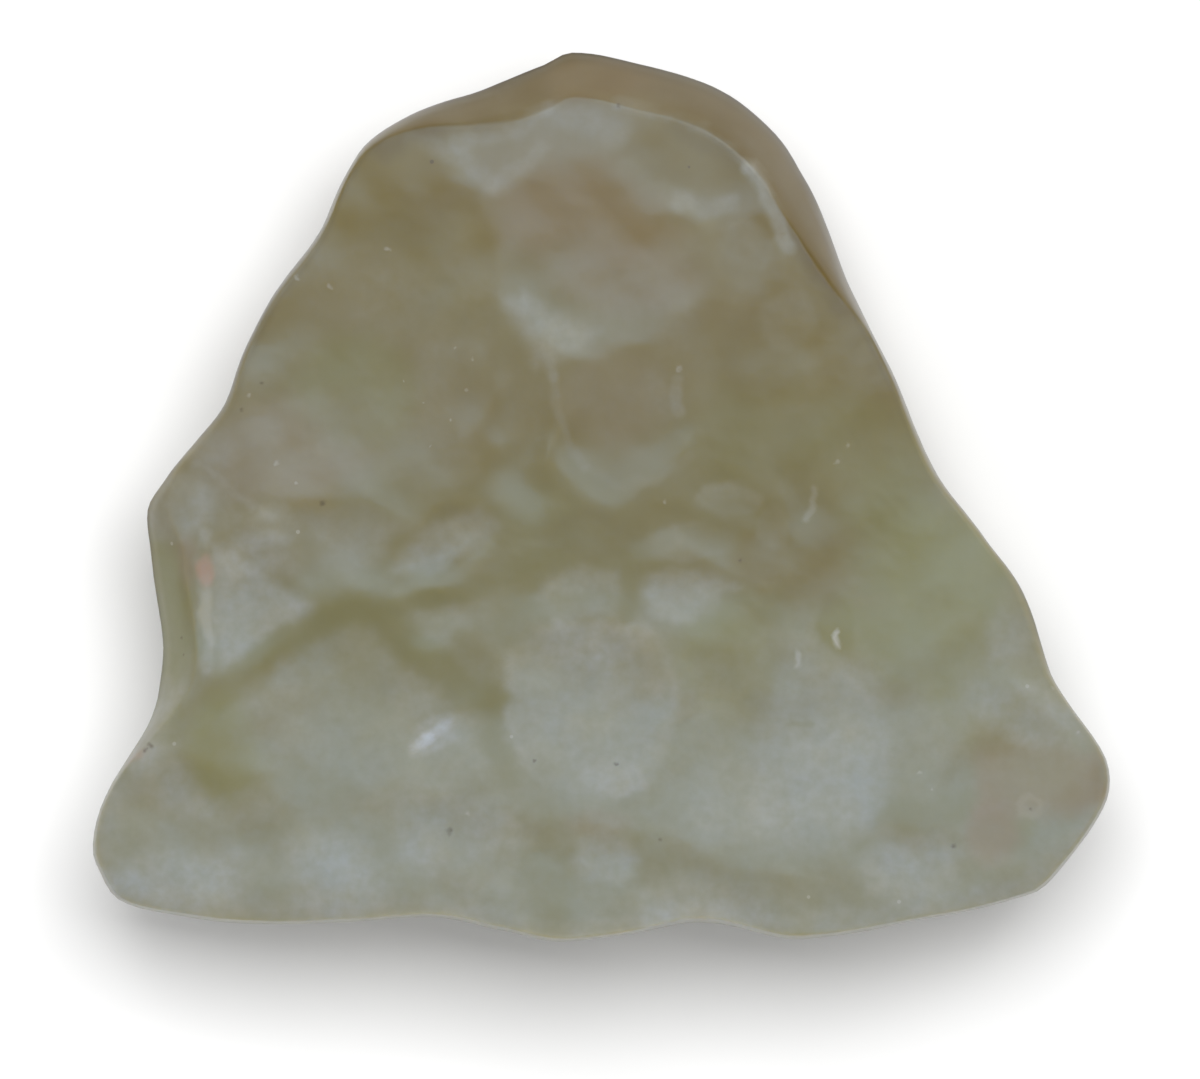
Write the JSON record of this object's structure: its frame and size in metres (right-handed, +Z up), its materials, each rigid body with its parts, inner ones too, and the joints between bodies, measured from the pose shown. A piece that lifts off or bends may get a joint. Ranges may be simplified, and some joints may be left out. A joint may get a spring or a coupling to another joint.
{
  "type": "raw desert glass stone",
  "caption": "Wind-worn lump of cloudy natural glass with a scooped upper face, a steep wall and a small flat land underneath to rest on.",
  "frame": {"origin": "on the resting plane, under the middle of the bounding box", "axes": "+X along the long side of the rounded triangle, +Y towards its blunt apex, +Z up, away from the land it rests on"},
  "size_m": [0.046, 0.0402, 0.014],
  "materials": {
    "frosted_glass": "cloudy olive-brown natural glass, wind-polished in its dishes and finely sand-frosted over its lower half"
  },
  "bodies": {
    "root": {"desert_glass": "frosted_glass"}
  },
  "joints": []
}
